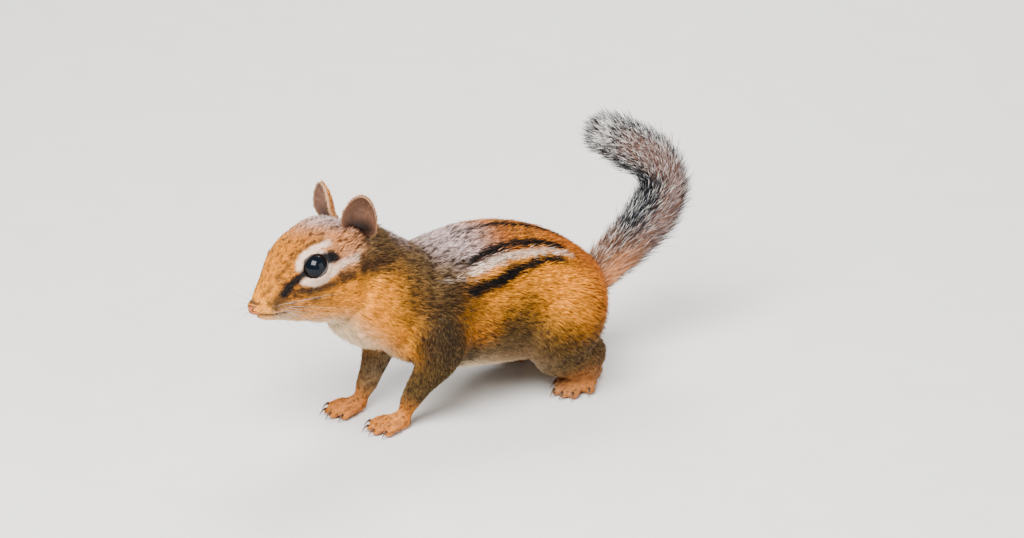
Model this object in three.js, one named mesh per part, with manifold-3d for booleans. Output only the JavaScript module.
// A life-size eastern chipmunk, standing alert on four feet with its tail curled up.
// Millimetres, +Z up. The animal faces -Y and its left side is +X. Each named mesh is one part of the body.
// The shapes are the outside of the coat. Neighbouring parts meet with a gap of GAP.
import * as THREE from "three";
import { mergeVertices } from "three/addons/utils/BufferGeometryUtils.js";
import Module from "manifold-3d";

const wasm = await Module();
wasm.setup();

// Driving sizes
const GAP = 0.3;
const EYE_RADIUS = 4.05;
const EAR_HEIGHT = 14.2;
const EAR_WIDTH = 10.2;
const EAR_THICKNESS = 1.1;
const HEAD_YAW = THREE.MathUtils.degToRad(6);
const HEAD_ROLL = THREE.MathUtils.degToRad(9);
const HEAD_PIVOT = new THREE.Vector3(0, -10, 52);
const TAIL_RADIUS = 9;
const TAIL_CORE = 4.4;
const TAIL_CORE_SIDES = 9;
const LOCK_RING_STEP = 7.3;
const LOCKS_PER_RING = 7;
const LOCK_WIDTH = 6;
const LOCK_LEAN = THREE.MathUtils.degToRad(26);
const FLOOR_CUT = { wide: 400, deep: 40 };

const LEFT = new THREE.Vector3(1, 0, 0);
const UP = new THREE.Vector3(0, 0, 1);
const at = (x, y, z) => new THREE.Vector3(x, y, z);

// Coat and skin colours
const coat = (name, color, roughness = 0.85) =>
  new THREE.MeshStandardMaterial({ name, color, roughness, metalness: 0 });
const RUSSET = coat("russet_coat", 0xb0713a);
const TICKED = coat("ticked_coat", 0x8a7260);
const TAWNY = coat("tawny_coat", 0xc98f52);
const TAIL_COAT = coat("tail_coat", 0x8d7f7a);
const FOOT_SKIN = coat("foot_skin", 0xc98250, 0.7);
const EAR_SKIN = coat("ear_skin", 0x9a7563, 0.75);
const CLAW_HORN = coat("claw_horn", 0x3b2a22, 0.4);
const EYE_GLOSS = coat("eye_gloss", 0x0b0a0c, 0.05);

// Solids from geometry, and geometry from solids
function solidOf(geometry) {
  const bare = geometry.index ? geometry.toNonIndexed() : geometry.clone();
  for (const name of Object.keys(bare.attributes)) {
    if (name !== "position") bare.deleteAttribute(name);
  }
  const merged = mergeVertices(bare, 1e-4);
  const mesh = new wasm.Mesh({
    numProp: 3,
    vertProperties: merged.attributes.position.array,
    triVerts: new Uint32Array(merged.index.array),
  });
  return new wasm.Manifold(mesh);
}

const join = (solids) => solids.reduce((sum, next) => sum.add(next));
const cut = (solid, cutters) => cutters.reduce((rest, next) => rest.subtract(next), solid);

function largest(solid) {
  return solid.decompose().sort((a, b) => b.volume() - a.volume())[0];
}

function geometryOf(solid) {
  const { numProp, numVert, vertProperties, triVerts } = solid.getMesh();
  const position = new Float32Array(numVert * 3);
  for (let i = 0; i < numVert; i++) {
    position.set(vertProperties.subarray(i * numProp, i * numProp + 3), i * 3);
  }
  const geometry = new THREE.BufferGeometry();
  geometry.setAttribute("position", new THREE.BufferAttribute(position, 3));
  geometry.setIndex(new THREE.BufferAttribute(triVerts, 1));
  geometry.computeVertexNormals();
  return geometry;
}

// A closed solid from rings of points, with a pole at either end. Its rings may run either way round.
function solidThrough(rings, startPole, endPole) {
  const solid = solidOf(skinRings(rings, startPole, endPole));
  if (solid.volume() > 0) return solid;
  return solidOf(skinRings(rings.map((ring) => [...ring].reverse()), startPole, endPole));
}

function skinRings(rings, startPole, endPole) {
  const sides = rings[0].length;
  const points = [startPole, ...rings.flat(), endPole];
  const last = points.length - 1;
  const faces = [];
  const id = (ring, k) => 1 + ring * sides + (k % sides);
  for (let k = 0; k < sides; k++) {
    faces.push(0, id(0, k + 1), id(0, k));
    for (let r = 0; r + 1 < rings.length; r++) {
      faces.push(id(r, k), id(r, k + 1), id(r + 1, k + 1));
      faces.push(id(r, k), id(r + 1, k + 1), id(r + 1, k));
    }
    faces.push(last, id(rings.length - 1, k), id(rings.length - 1, k + 1));
  }
  const geometry = new THREE.BufferGeometry().setFromPoints(points);
  geometry.setIndex(faces);
  return geometry;
}

// A value that runs smoothly through the stations' numbers, at t from 0 to 1.
function smoothValue(values, t) {
  const x = t * (values.length - 1);
  const i = Math.min(Math.floor(x), values.length - 2);
  const f = x - i;
  const before = values[Math.max(i - 1, 0)];
  const after = values[Math.min(i + 2, values.length - 1)];
  const slopeA = (values[i + 1] - before) / 2;
  const slopeB = (after - values[i]) / 2;
  const h = f * f * (3 - 2 * f);
  return (
    values[i] * (1 - h) + values[i + 1] * h +
    slopeA * f * (1 - f) ** 2 - slopeB * f * f * (1 - f)
  );
}

// A rounded body through stations { p, wide, rise, drop }: half its width, and its height above and below
// the path. capStart and capEnd are the lengths over which its ends round off, and grow adds to every side.
function bodyThrough(stations, options) {
  const { rings, sides, capStart, capEnd, grow = 0, across = LEFT } = options;
  const path = new THREE.CatmullRomCurve3(stations.map((s) => s.p));
  const length = path.getLength();
  const capRings = options.capRings ?? 3;
  const spots = [];
  const startCap = capStart + grow;
  const endCap = capEnd + grow;
  for (let k = 1; k <= capRings; k++) {
    spots.push(startCap * (1 - Math.cos((k / (capRings + 1)) * Math.PI / 2)) - grow);
  }
  for (let k = 0; k < rings; k++) {
    spots.push(capStart + ((length - capStart - capEnd) * k) / Math.max(rings - 1, 1));
  }
  for (let k = capRings; k >= 1; k--) {
    spots.push(length + grow - endCap * (1 - Math.cos((k / (capRings + 1)) * Math.PI / 2)));
  }
  // An end's rounding: a quarter ellipse over the cap's length.
  const rounding = (d) => {
    const fromStart = Math.min((d + grow) / startCap, 1);
    const fromEnd = Math.min((length + grow - d) / endCap, 1);
    return Math.sqrt(1 - (1 - fromStart) ** 2) * Math.sqrt(1 - (1 - fromEnd) ** 2);
  };
  const frameAt = (d) => {
    const u = THREE.MathUtils.clamp(d / length, 0, 1);
    const t = path.getUtoTmapping(u);
    const ahead = path.getTangent(t);
    const side = across.clone().addScaledVector(ahead, -across.dot(ahead)).normalize();
    const top = side.clone().cross(ahead).normalize();
    const centre = path.getPoint(t).addScaledVector(ahead, d - u * length);
    return { t, ahead, side, top, centre };
  };
  const made = spots.map((d) => {
    const { t, side, top, centre } = frameAt(d);
    const round = rounding(d);
    const wide = (smoothValue(stations.map((s) => s.wide), t) + grow) * round;
    const rise = (smoothValue(stations.map((s) => s.rise), t) + grow) * round;
    const drop = (smoothValue(stations.map((s) => s.drop), t) + grow) * round;
    return Array.from({ length: sides }, (_, k) => {
      const angle = ((k + 0.5) / sides) * 2 * Math.PI;
      const height = Math.sin(angle) * (Math.sin(angle) > 0 ? rise : drop);
      return centre.clone().addScaledVector(side, Math.cos(angle) * wide).addScaledVector(top, height);
    });
  });
  const start = frameAt(-grow).centre;
  const end = frameAt(length + grow).centre;
  return solidThrough(made, start, end);
}

const round = (p, r) => ({ p, wide: r, rise: r, drop: r });

// Trunk: head, neck and torso are modelled whole, then parted
const HEAD_STATIONS = [
  { p: at(0, -43.2, 45.2), wide: 3.1, rise: 2.6, drop: 2.9 },
  { p: at(0, -40.0, 46.2), wide: 4.8, rise: 4.1, drop: 5.4 },
  { p: at(0, -36.0, 48.2), wide: 6.4, rise: 6.3, drop: 10.4 },
  { p: at(0, -30.0, 51.0), wide: 9.7, rise: 10.1, drop: 15.2 },
  { p: at(0, -22.5, 53.0), wide: 12.6, rise: 12.8, drop: 17.6 },
  { p: at(0, -14.5, 53.6), wide: 14.0, rise: 13.2, drop: 17.6 },
  { p: at(0, -7.0, 53.0), wide: 12.6, rise: 11.4, drop: 15.0 },
];
const NECK_STATIONS = [
  { p: at(1, -17, 54), wide: 12.4, rise: 12.4, drop: 14.5 },
  { p: at(0.6, -11, 51.4), wide: 13.2, rise: 13.4, drop: 17.2 },
  { p: at(0.2, -4, 47.2), wide: 14.4, rise: 13.2, drop: 20.4 },
  { p: at(0, 4, 42), wide: 15.8, rise: 13.0, drop: 21.0 },
  { p: at(0, 12, 38), wide: 17.0, rise: 14.0, drop: 19.5 },
];
const TORSO_STATIONS = [
  { p: at(0, -4, 36.5), wide: 13.0, rise: 13.0, drop: 13.5 },
  { p: at(0, 6, 35.5), wide: 17.2, rise: 15.6, drop: 17.0 },
  { p: at(0, 18, 33.5), wide: 19.8, rise: 18.6, drop: 20.4 },
  { p: at(0, 32, 31.8), wide: 21.4, rise: 21.6, drop: 21.4 },
  { p: at(0, 46, 29.6), wide: 22.0, rise: 20.8, drop: 20.6 },
  { p: at(0, 58, 26.4), wide: 20.6, rise: 17.8, drop: 18.4 },
  { p: at(0, 68, 23.0), wide: 17.0, rise: 13.4, drop: 15.0 },
  { p: at(0, 75.0, 20.8), wide: 11.6, rise: 9.8, drop: 11.2 },
];
const turnHead = new THREE.Matrix4()
  .makeTranslation(HEAD_PIVOT)
  .multiply(new THREE.Matrix4().makeRotationZ(HEAD_YAW))
  .multiply(new THREE.Matrix4().makeRotationY(-HEAD_ROLL))
  .multiply(new THREE.Matrix4().makeTranslation(HEAD_PIVOT.clone().negate()));
const onHead = (x, y, z) => at(x, y, z).applyMatrix4(turnHead);
const headAcross = LEFT.clone().transformDirection(turnHead);

const headForm = (grow = 0) =>
  bodyThrough(
    HEAD_STATIONS.map((s) => ({ ...s, p: s.p.clone().applyMatrix4(turnHead) })),
    { rings: 13, sides: 22, capStart: 2.2, capEnd: 9, capRings: 2, grow, across: headAcross },
  );
const neckForm = (grow = 0) =>
  bodyThrough(NECK_STATIONS, { rings: 7, sides: 20, capStart: 8, capEnd: 8, capRings: 2, grow });
const torsoForm = (grow = 0) =>
  bodyThrough(TORSO_STATIONS, { rings: 12, sides: 22, capStart: 9, capEnd: 9.5, capRings: 3, grow });

// A tube along a path, for lids, lips and grooves; its ends taper to points over taper.
function tubeAlong(points, radius, { sides = 5, steps = 12, closed = false, grow = 0 } = {}) {
  const path = new THREE.CatmullRomCurve3(points, closed);
  const frames = path.computeFrenetFrames(steps, closed);
  const ring = (i) => {
    const share = i / steps;
    const r = closed ? radius + grow : radius * Math.max(Math.sin(Math.PI * share), 0.35) ** 0.5 + grow;
    const centre = path.getPointAt(share % 1);
    return Array.from({ length: sides }, (_, k) => {
      const angle = (k / sides) * 2 * Math.PI;
      return centre
        .clone()
        .addScaledVector(frames.normals[i], Math.cos(angle) * r)
        .addScaledVector(frames.binormals[i], Math.sin(angle) * r);
    });
  };
  const rings = Array.from({ length: closed ? steps : steps + 1 }, (_, i) => ring(i));
  if (!closed) return solidThrough(rings, path.getPointAt(0), path.getPointAt(1));
  const vertices = rings.flat();
  const faces = [];
  for (let i = 0; i < steps; i++) {
    for (let k = 0; k < sides; k++) {
      const a = i * sides + k;
      const b = i * sides + ((k + 1) % sides);
      const c = ((i + 1) % steps) * sides + ((k + 1) % sides);
      const d = ((i + 1) % steps) * sides + k;
      faces.push(a, b, c, a, c, d);
    }
  }
  const geometry = new THREE.BufferGeometry().setFromPoints(vertices);
  geometry.setIndex(faces);
  const solid = solidOf(geometry);
  if (solid.volume() > 0) return solid;
  geometry.setIndex(faces.reverse());
  return solidOf(geometry);
}

// Eyes: each ball sits in a socket, inside an almond of lids
const EYE_CENTRE = { x: 8.5, y: -27.0, z: 55.5 };
const EYE_LOOK = at(0.8, -0.52, 0.3).normalize();
const LID_LONG = 4.2;
const LID_HIGH = 3.3;
const LID_RADIUS = 0.62;
const LID_FORWARD = 2.5;
const LID_POINTS = 14;
const LID_STEPS = 16;
// How far the lids' corners lie back, and how far they reach beyond the oval.
const LID_CORNER = { back: 0.9, reach: 0.12 };

function eyeBall(side, grow = 0) {
  const ball = new THREE.SphereGeometry(EYE_RADIUS + grow, 18, 12);
  const centre = onHead(side * EYE_CENTRE.x, EYE_CENTRE.y, EYE_CENTRE.z);
  return solidOf(ball.translate(centre.x, centre.y, centre.z));
}

function eyeLids(side) {
  const look = at(side * EYE_LOOK.x, EYE_LOOK.y, EYE_LOOK.z);
  const slant = at(0, 1, 0.42);
  const back = slant.addScaledVector(look, -look.dot(slant)).normalize();
  const above = back.clone().cross(look).multiplyScalar(-side).normalize();
  const centre = at(side * EYE_CENTRE.x, EYE_CENTRE.y, EYE_CENTRE.z);
  const points = Array.from({ length: LID_POINTS }, (_, k) => {
    const angle = (k / LID_POINTS) * 2 * Math.PI;
    const corner = 1 + LID_CORNER.reach * Math.cos(angle) ** 4;
    const p = centre
      .clone()
      .addScaledVector(look, LID_FORWARD - LID_CORNER.back * Math.cos(angle) ** 2)
      .addScaledVector(back, Math.cos(angle) * LID_LONG * corner)
      .addScaledVector(above, Math.sin(angle) * LID_HIGH);
    return onHead(p.x, p.y, p.z);
  });
  return tubeAlong(points, LID_RADIUS, { sides: 4, steps: LID_STEPS, closed: true });
}

// Nose pad, nostrils, mouth line and lips
const NOSE = { y: -43.7, z: 46.1, wide: 2.5, deep: 1.6, high: 2 };
const NOSTRIL_RADIUS = 0.5;
const MOUTH = {
  y: -42,
  z: 43.7,
  slope: -0.06,
  back: -35.4,
  gape: 0.5,
  depth: 1.1,
  lip: 0.35,
  lipHeight: 2,
  before: 8,
  wide: 30,
};

// A flat slab along the line of the mouth, from before the nose back to the corners of the mouth.
function mouthSlab(height, back) {
  const length = back - MOUTH.y + MOUTH.before;
  const slab = new THREE.BoxGeometry(MOUTH.wide, length, height);
  slab.translate(0, length / 2 - MOUTH.before, 0);
  slab.rotateX(MOUTH.slope).translate(0, MOUTH.y, MOUTH.z).applyMatrix4(turnHead);
  return solidOf(slab);
}

function noseForms() {
  const pad = new THREE.SphereGeometry(1, 14, 9).scale(NOSE.wide, NOSE.deep, NOSE.high);
  const tip = onHead(0, NOSE.y, NOSE.z);
  return solidOf(pad.rotateZ(HEAD_YAW).translate(tip.x, tip.y, tip.z));
}

function nostril(side) {
  const points = [
    onHead(side * 0.8, NOSE.y - 2.3, NOSE.z),
    onHead(side * 1.45, NOSE.y - 1, NOSE.z + 0.2),
    onHead(side * 2.2, NOSE.y + 0.4, NOSE.z + 0.7),
  ];
  return tubeAlong(points, NOSTRIL_RADIUS, { sides: 5, steps: 5 });
}

function makeHead(trunkHead) {
  const lips = headForm(MOUTH.lip).intersect(mouthSlab(MOUTH.lipHeight, MOUTH.back + 0.8));
  const whole = join([trunkHead, noseForms(), lips, eyeLids(1), eyeLids(-1)]);
  const grooves = [
    mouthSlab(MOUTH.gape, MOUTH.back).subtract(headForm(-MOUTH.depth)),
    nostril(1),
    nostril(-1),
    eyeBall(1, GAP),
    eyeBall(-1, GAP),
  ];
  return cut(whole, grooves);
}

// Ears: a thin oval cup whose foot wraps round to the skull
const EAR_SEAT = {
  left: { root: at(10.8, -13.2, 59.9), up: at(0.3, 0.04, 1), facing: at(0.7, -0.72, 0.12) },
  right: { root: at(-7.6, -11.6, 59.6), up: at(-0.06, 0.04, 1), facing: at(-0.2, -0.96, 0.12) },
};
const EAR_SIDES = 16;
const EAR_RINGS = 4;
// The cup's depth, the curl of its side edges, and the shares of its height above and below its widest place.
const EAR_BOWL = 3.1;
const EAR_CURL = 1.6;
const EAR_ABOVE = 0.46;
const EAR_BELOW = 0.62;
const EAR_NARROWING = 0.16;

function earCup(label) {
  const { root } = EAR_SEAT[label];
  const up = EAR_SEAT[label].up.clone().normalize();
  const facing = EAR_SEAT[label].facing.clone();
  facing.addScaledVector(up, -facing.dot(up)).normalize();
  const across = up.clone().cross(facing).normalize();
  const outline = (angle) => {
    const high = Math.sin(angle);
    const wide = Math.cos(angle) * (1 - EAR_NARROWING * high) * EAR_WIDTH * 0.5;
    return { wide, high: high * EAR_HEIGHT * (high > 0 ? EAR_ABOVE : EAR_BELOW) };
  };
  const face = (share, angle, depth) => {
    const edge = outline(angle);
    const below = Math.min(edge.high / EAR_HEIGHT, 0);
    const bowl = (1 - share * share) * EAR_BOWL + (share * below) ** 2 * EAR_BOWL;
    const curl = EAR_CURL * (Math.cos(angle) * share) ** 2;
    const p = root
      .clone()
      .addScaledVector(up, EAR_HEIGHT * (1 - EAR_ABOVE) + edge.high * share)
      .addScaledVector(across, edge.wide * share)
      .addScaledVector(facing, curl - bowl - depth);
    return onHead(p.x, p.y, p.z);
  };
  const front = [];
  const back = [];
  for (let r = 1; r <= EAR_RINGS; r++) {
    const share = r / EAR_RINGS;
    const angles = Array.from({ length: EAR_SIDES }, (_, k) => (k / EAR_SIDES) * 2 * Math.PI);
    front.push(angles.map((angle) => face(share, angle, 0)));
    const taper = EAR_THICKNESS * (r === EAR_RINGS ? 0.62 : 1);
    back.push(angles.map((angle) => face(share, angle, taper)));
  }
  const made = [...front, ...back.reverse()];
  return solidThrough(made, face(0, 0, 0), face(0, 0, EAR_THICKNESS));
}

// Legs. Each is a limb through joints, cut clear of the trunk.
const FORELEG = {
  left: [
    round(at(12.5, 9, 37), 9.5),
    round(at(14.2, 12.6, 28), 9.4),
    round(at(13.4, 11.6, 20.4), 6.7),
    round(at(12.0, 7.6, 14.0), 4.2),
    round(at(11.0, 4.4, 8.8), 3.2),
    round(at(10.6, 3.0, 5.4), 3.0),
  ],
  right: [
    round(at(-12.5, 5, 36), 9),
    round(at(-13.2, 8, 27), 8.4),
    round(at(-11.6, 7.4, 19), 6.2),
    round(at(-9.4, 4.0, 12.8), 4.0),
    round(at(-7.6, 0.6, 8.2), 3.2),
    round(at(-6.6, -1.6, 5.2), 3.0),
  ],
};
const WRIST_BACK = 2.4;
const FORE_TURN_OUT = { left: -4, right: 2 };
const HEEL = { x: 6.4, y: 72.8 };
const HIND_TURN_OUT = 30;

const foreLimb = (label, grow = 0) =>
  bodyThrough(FORELEG[label], { rings: 8, sides: 12, capStart: 7, capEnd: 2.4, capRings: 2, grow });

function hindLimb(side) {
  const thigh = bodyThrough(
    [
      { p: at(side * 11.2, 67.6, 24), wide: 9.0, rise: 9.6, drop: 11 },
      { p: at(side * 12.8, 59, 25.6), wide: 12.8, rise: 13.8, drop: 15 },
      { p: at(side * 14.4, 48.5, 23.4), wide: 12.2, rise: 13.4, drop: 13 },
      { p: at(side * 14.6, 38.5, 20), wide: 8.0, rise: 8.6, drop: 8.0 },
    ],
    { rings: 6, sides: 16, capStart: 7, capEnd: 6, capRings: 2 },
  );
  const shank = bodyThrough(
    [
      round(at(side * 15.6, 46, 15.5), 6.2),
      round(at(side * 14.0, 55, 12.4), 7.0),
      round(at(side * 10.6, 64.5, 9.6), 6.6),
      round(at(side * 8.0, 70.4, 7.8), 4.6),
    ],
    { rings: 4, sides: 12, capStart: 4, capEnd: 3.4, capRings: 2 },
  );
  return thigh.add(shank);
}

// Feet. A sole, a fan of toes on it, and a claw before each toe. All are cut flat at the floor.
const FOREFOOT = { length: 9.8, width: 6.6, toe: 5.6, toeRadius: 1.25, claw: 2.1, spread: 38 };
const HINDFOOT = { length: 19.2, width: 8.2, toe: 6.6, toeRadius: 1.35, claw: 2.3, spread: 38 };
// How far back each toe's root lies, and its length, as shares, from the inner toe to the outer one.
const FORE_TOES = [
  { back: 1.2, size: 0.84 },
  { back: 0, size: 1 },
  { back: 0.1, size: 1 },
  { back: 1.6, size: 0.84 },
];
const HIND_TOES = [
  { back: 4.2, size: 0.72 },
  { back: 0.6, size: 0.98 },
  { back: 0, size: 1 },
  { back: 0.7, size: 0.98 },
  { back: 4.8, size: 0.84 },
];

const floor = () => {
  const slab = new THREE.BoxGeometry(FLOOR_CUT.wide, FLOOR_CUT.wide, FLOOR_CUT.deep);
  return solidOf(slab.translate(0, 0, -FLOOR_CUT.deep / 2));
};

// A foot's own frame: heel at its origin, toes along its heading, turned out by the angle given in degrees.
function footFrame(heel, turnOut, side) {
  const angle = THREE.MathUtils.degToRad(turnOut) * side;
  const ahead = at(Math.sin(angle), -Math.cos(angle), 0);
  const out = at(Math.cos(angle) * side, Math.sin(angle) * side, 0);
  return (along, outward, height) =>
    at(heel.x, heel.y, 0).addScaledVector(ahead, along).addScaledVector(out, outward).setZ(height);
}

function toeLine(foot, toes, place, index) {
  const { back, size } = toes[index];
  const share = index / (toes.length - 1) - 0.5;
  const angle = THREE.MathUtils.degToRad(foot.spread) * share;
  const rootOut = share * foot.width;
  const rootAlong = foot.length - back - 1.2;
  const reach = foot.toe * size;
  const point = (distance, height) =>
    place(rootAlong + Math.cos(angle) * distance, rootOut + Math.sin(angle) * distance, height);
  return { point, reach };
}

function makeToe(foot, toes, place, index, grow = 0) {
  const { point, reach } = toeLine(foot, toes, place, index);
  const r = foot.toeRadius;
  const stations = [
    round(point(-1.6, r * 1.5), r * 0.95),
    round(point(reach * 0.3, r * 1.75), r * 0.95),
    round(point(reach * 0.65, r * 1.2), r * 0.86),
    round(point(reach, r * 0.8), r * 1.0),
  ];
  return bodyThrough(stations, { rings: 4, sides: 6, capStart: r, capEnd: r, capRings: 1, grow });
}

const CLAW_HOOK = 1.35;
const CLAW_TIP = 0.16;
const CLAW_SIDES = 5;

function makeClaw(foot, toes, place, index) {
  const { point, reach } = toeLine(foot, toes, place, index);
  const root = foot.toeRadius * 0.42;
  // A claw rises a little over the toe's end and hooks down towards its tip.
  const rings = [0, 0.5, 1].map((share) => {
    const arch = foot.toeRadius * (1.15 + 0.35 * Math.sin(share * 2.2));
    const centre = point(reach - 0.5 + share * foot.claw, arch - share * share * CLAW_HOOK);
    return { centre, r: Math.max(root * (1 - 0.72 * share), CLAW_TIP) };
  });
  const across = point(reach, 1).sub(point(reach - 1, 1)).cross(UP).normalize();
  const ahead = point(reach, 1).sub(point(reach - 1, 1)).normalize();
  const circles = rings.map(({ centre, r }) =>
    Array.from({ length: CLAW_SIDES }, (_, k) => {
      const angle = (k / CLAW_SIDES) * 2 * Math.PI;
      return centre
        .clone()
        .addScaledVector(across, Math.cos(angle) * r * 0.85)
        .addScaledVector(UP, Math.sin(angle) * r * 1.2);
    }),
  );
  const start = rings[0].centre.clone().addScaledVector(ahead, -0.1);
  const end = rings[2].centre.clone().addScaledVector(ahead, 0.2);
  return solidThrough(circles, start, end);
}

// The sole and instep, from the heel to the roots of the toes.
function makeSole(foot, place, ankle) {
  const w = foot.width / 2;
  const across = place(0, 1, 0).sub(place(0, 0, 0));
  const stations = [
    { p: place(ankle.back, 0, 2.4), wide: w * 0.6, rise: ankle.height, drop: 2.6 },
    { p: place(foot.length * 0.3, 0, 2.4), wide: w * 0.72, rise: ankle.instep, drop: 2.6 },
    { p: place(foot.length * 0.68, 0, 2.1), wide: w * 0.98, rise: 2.0, drop: 2.4 },
    { p: place(foot.length + 0.4, 0, 1.6), wide: w * 1.04, rise: 1.3, drop: 1.9 },
  ];
  return bodyThrough(stations, { rings: 4, sides: 10, capStart: 2.4, capEnd: 1.6, capRings: 1, across });
}

function makeFoot(foot, toes, place, ankle) {
  const indices = toes.map((_, i) => i);
  const flesh = join([makeSole(foot, place, ankle), ...indices.map((i) => makeToe(foot, toes, place, i))]);
  const slab = floor();
  const claws = indices.map((i) =>
    largest(cut(makeClaw(foot, toes, place, i), [makeToe(foot, toes, place, i, GAP), slab])),
  );
  return { flesh: cut(flesh, [slab]), claws };
}

// Tail: three lengths of one core, each with rings of flat tapered locks
const TAIL_POINTS = [
  at(0, 70.5, 24.5),
  at(0, 76.0, 28.6),
  at(0.2, 86.2, 36.0),
  at(0.4, 94.0, 43.2),
  at(0.5, 97.6, 51.2),
  at(0.3, 95.0, 59.4),
  at(0, 88.6, 65.6),
  at(-0.5, 81.6, 70.4),
];
const TAIL_PARTS = ["tail_base", "tail_middle", "tail_tip"];
const tailPath = new THREE.CatmullRomCurve3(TAIL_POINTS);
const TAIL_LENGTH = tailPath.getLength();
const TAIL_BARE = 5;
const TIP_LOCKS = { count: 5, length: 7.4, width: 4.6 };
const ROOT_SHARE = 0.7;
const BELL_SLOPE = Math.tan(THREE.MathUtils.degToRad(30));

function seeded(seed) {
  let state = seed;
  return () => {
    state = (state * 1664525 + 1013904223) % 4294967296;
    return state / 4294967296;
  };
}

function tailFrame(distance) {
  const u = THREE.MathUtils.clamp(distance / TAIL_LENGTH, 0, 1);
  const ahead = tailPath.getTangentAt(u);
  const side = LEFT.clone().addScaledVector(ahead, -LEFT.dot(ahead)).normalize();
  const top = side.clone().cross(ahead).normalize();
  const centre = tailPath.getPointAt(u).addScaledVector(ahead, distance - u * TAIL_LENGTH);
  return { ahead, side, top, centre };
}

// Fullness of the brush along the tail, from its root to its tip.
const brushRadius = (distance) => {
  const share = distance / TAIL_LENGTH;
  const atRoot = 0.28 * Math.max(1 - share / 0.35, 0);
  const atTip = 0.3 * Math.max((share - 0.7) / 0.3, 0) ** 1.5;
  return TAIL_RADIUS * (1 - atRoot - atTip);
};

// A ring of points round the tail's centre line.
function tailRing(distance, radius, sides) {
  const { side, top, centre } = tailFrame(distance);
  return Array.from({ length: sides }, (_, k) => {
    const angle = (k / sides) * 2 * Math.PI;
    return centre
      .clone()
      .addScaledVector(side, Math.cos(angle) * radius)
      .addScaledVector(top, Math.sin(angle) * radius);
  });
}

function tailCore(from, to) {
  const count = Math.max(Math.round((to - from) / 4), 4);
  const rings = Array.from({ length: count + 1 }, (_, i) => {
    const distance = from + ((to - from) * i) / count;
    const nearTip = Math.min((TAIL_LENGTH + 1.5 - distance) / 7, 1);
    const swell = 0.86 + 0.14 * Math.min(distance / 25, 1);
    return tailRing(distance, TAIL_CORE * swell * Math.sqrt(1 - (1 - nearTip) ** 2), TAIL_CORE_SIDES);
  });
  return solidThrough(rings, tailFrame(from).centre, tailFrame(to).centre);
}

// One lock: a flat tapered blade, sunk in the core at its root, that leans back along the tail and bends
// outwards.
function tailLock(distance, angle, length, lean, width) {
  const { ahead, side, top, centre } = tailFrame(distance);
  const outward = side.clone().multiplyScalar(Math.cos(angle)).addScaledVector(top, Math.sin(angle));
  const across = ahead.clone().cross(outward).normalize();
  const rootRadius = TAIL_CORE * ROOT_SHARE;
  const shape = [
    { share: 0, wide: 0.62, thick: 1 },
    { share: 0.42, wide: 1, thick: 0.95 },
    { share: 0.76, wide: 0.66, thick: 0.7 },
  ];
  const point = (share) => {
    const bend = lean * (1 + 0.25 * share);
    return centre
      .clone()
      .addScaledVector(outward, rootRadius + Math.sin(bend) * length * share)
      .addScaledVector(ahead, Math.cos(bend) * length * share);
  };
  const lift = outward.clone().multiplyScalar(Math.cos(lean)).addScaledVector(ahead, -Math.sin(lean));
  const rings = shape.map(({ share, wide, thick }) => {
    const p = point(share);
    const w = (width / 2) * wide;
    const h = 0.62 * thick;
    return [
      p.clone().addScaledVector(across, w),
      p.clone().addScaledVector(lift, h),
      p.clone().addScaledVector(across, -w),
      p.clone().addScaledVector(lift, -h),
    ];
  });
  return solidThrough(rings, point(0), point(1));
}

// The space a length of the tail may fill, from its boundary with the length before it: a bell that opens
// at the lie of the locks, so that the locks of the length before lie over it.
const BELL = { rings: 8, step: 2.4, sides: 18 };

function tailBell(boundary, grow) {
  const rings = Array.from({ length: BELL.rings }, (_, i) => {
    const beyond = i * BELL.step;
    return tailRing(boundary + beyond - grow, TAIL_CORE + GAP + beyond * BELL_SLOPE, BELL.sides);
  });
  const mouth = boundary + (BELL.rings - 1) * BELL.step;
  return solidThrough(rings, tailFrame(boundary - grow).centre, tailFrame(mouth - grow).centre);
}

function tailParts(body) {
  const random = seeded(7);
  const partLength = TAIL_LENGTH / TAIL_PARTS.length;
  return TAIL_PARTS.map((name, index) => {
    const from = index * partLength + (index ? GAP / 2 : 0);
    const to = (index + 1) * partLength - (index + 1 < TAIL_PARTS.length ? GAP / 2 : 0);
    const first = index ? from + 1 : TAIL_BARE;
    const last = to - 1.2;
    const count = Math.round((last - first) / LOCK_RING_STEP);
    const locks = [];
    for (let ring = 0; ring <= count; ring++) {
      const distance = first + ((last - first) * ring) / count;
      const reach = brushRadius(distance) - TAIL_CORE * ROOT_SHARE;
      for (let k = 0; k < LOCKS_PER_RING; k++) {
        const angle = ((k + (ring % 2) / 2 + (random() - 0.5) * 0.3) / LOCKS_PER_RING) * 2 * Math.PI;
        const lean = LOCK_LEAN * (0.94 + 0.12 * random());
        const length = (reach / Math.sin(lean * 1.25)) * (0.94 + 0.12 * random());
        locks.push(tailLock(distance, angle, length, lean, LOCK_WIDTH));
      }
    }
    if (index === TAIL_PARTS.length - 1) {
      for (let k = 0; k < TIP_LOCKS.count; k++) {
        const angle = (k / TIP_LOCKS.count) * 2 * Math.PI;
        locks.push(tailLock(last + 1.6, angle, TIP_LOCKS.length, LOCK_LEAN * 0.6, TIP_LOCKS.width));
      }
    }
    const after = index + 1 < TAIL_PARTS.length ? [tailBell((index + 1) * partLength, GAP)] : [];
    const before = index ? [] : [body];
    const brush = cut(join([tailCore(from, to), ...locks]), [...after, ...before]);
    return { name, solid: largest(brush) };
  });
}

// Assembly
const chipmunk = new THREE.Group();
const add = (name, solid, material) => {
  const mesh = new THREE.Mesh(geometryOf(largest(solid)), material);
  mesh.name = name;
  chipmunk.add(mesh);
};

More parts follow.
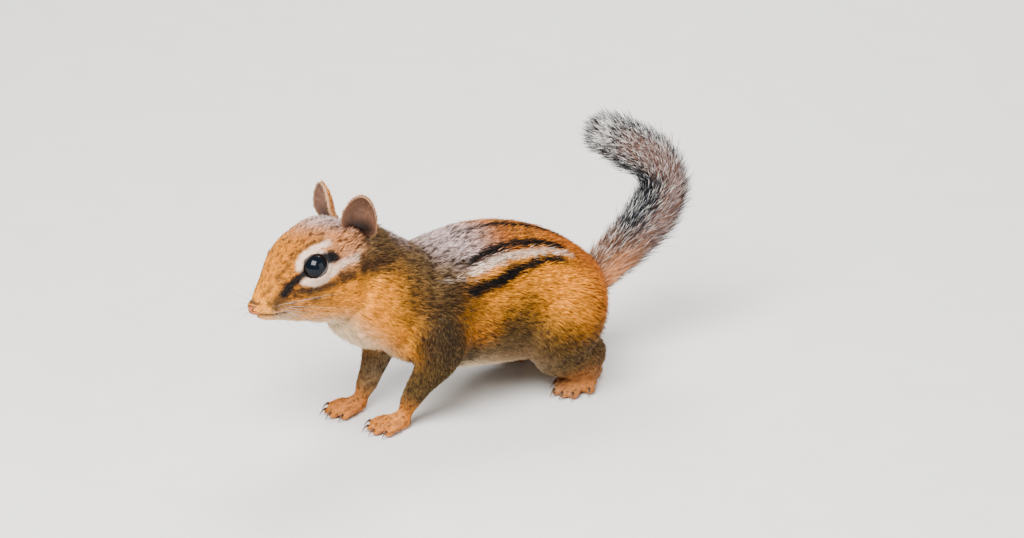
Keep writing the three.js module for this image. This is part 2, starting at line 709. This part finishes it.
const trunk = join([torsoForm(), neckForm(), headForm()]);
const parting = (point, normal) => {
  const n = normal.clone().normalize();
  const d = n.dot(point);
  return { before: [[-n.x, -n.y, -n.z], -d + GAP / 2], after: [[n.x, n.y, n.z], d + GAP / 2] };
};
const nape = parting(at(0.4, -9.5, 52), at(0, 0.9, -0.42));
const withers = parting(at(0, 6.5, 40), at(0, 0.86, -0.5));
const trunkWithoutLegs = [torsoForm(GAP), neckForm(GAP)];

add("head", makeHead(trunk.trimByPlane(...nape.before)), RUSSET);
add("neck", trunk.trimByPlane(...nape.after).trimByPlane(...withers.before), TICKED);
add("torso", trunk.trimByPlane(...withers.after), TICKED);

const headGrown = headForm(GAP);
for (const [label, side] of [["left", 1], ["right", -1]]) {
  add(`eye_${label}`, eyeBall(side), EYE_GLOSS);
  add(`ear_${label}`, cut(earCup(label), [headGrown, neckForm(GAP)]), EAR_SKIN);

  const wrist = FORELEG[label].at(-1).p;
  const forePlace = footFrame(at(wrist.x, wrist.y + WRIST_BACK, 0), FORE_TURN_OUT[label], side);
  const forefoot = makeFoot(FOREFOOT, FORE_TOES, forePlace, { back: 1.4, height: 3.4, instep: 3.2 });
  add(`foreleg_${label}`, cut(foreLimb(label), [...trunkWithoutLegs, floor()]), TICKED);
  add(`forefoot_${label}`, cut(forefoot.flesh, [foreLimb(label, GAP)]), FOOT_SKIN);
  forefoot.claws.forEach((claw, i) => add(`claw_fore_${label}_${i + 1}`, claw, CLAW_HORN));

  const hindPlace = footFrame(at(side * HEEL.x, HEEL.y, 0), HIND_TURN_OUT, side);
  const hindfoot = makeFoot(HINDFOOT, HIND_TOES, hindPlace, { back: 1.6, height: 3.6, instep: 3.6 });
  const hindleg = cut(hindLimb(side), [...trunkWithoutLegs, floor()]);
  add(`hindleg_${label}`, cut(hindleg, [hindfoot.flesh]), TAWNY);
  add(`hindfoot_${label}`, hindfoot.flesh, FOOT_SKIN);
  hindfoot.claws.forEach((claw, i) => add(`claw_hind_${label}_${i + 1}`, claw, CLAW_HORN));
}

for (const { name, solid } of tailParts(torsoForm(GAP))) add(name, solid, TAIL_COAT);

// The origin is the middle of the box's underside.
const box = new THREE.Box3().setFromObject(chipmunk);
const middle = box.getCenter(at(0, 0, 0));
for (const mesh of chipmunk.children) mesh.geometry.translate(-middle.x, -middle.y, -box.min.z);

export default chipmunk;
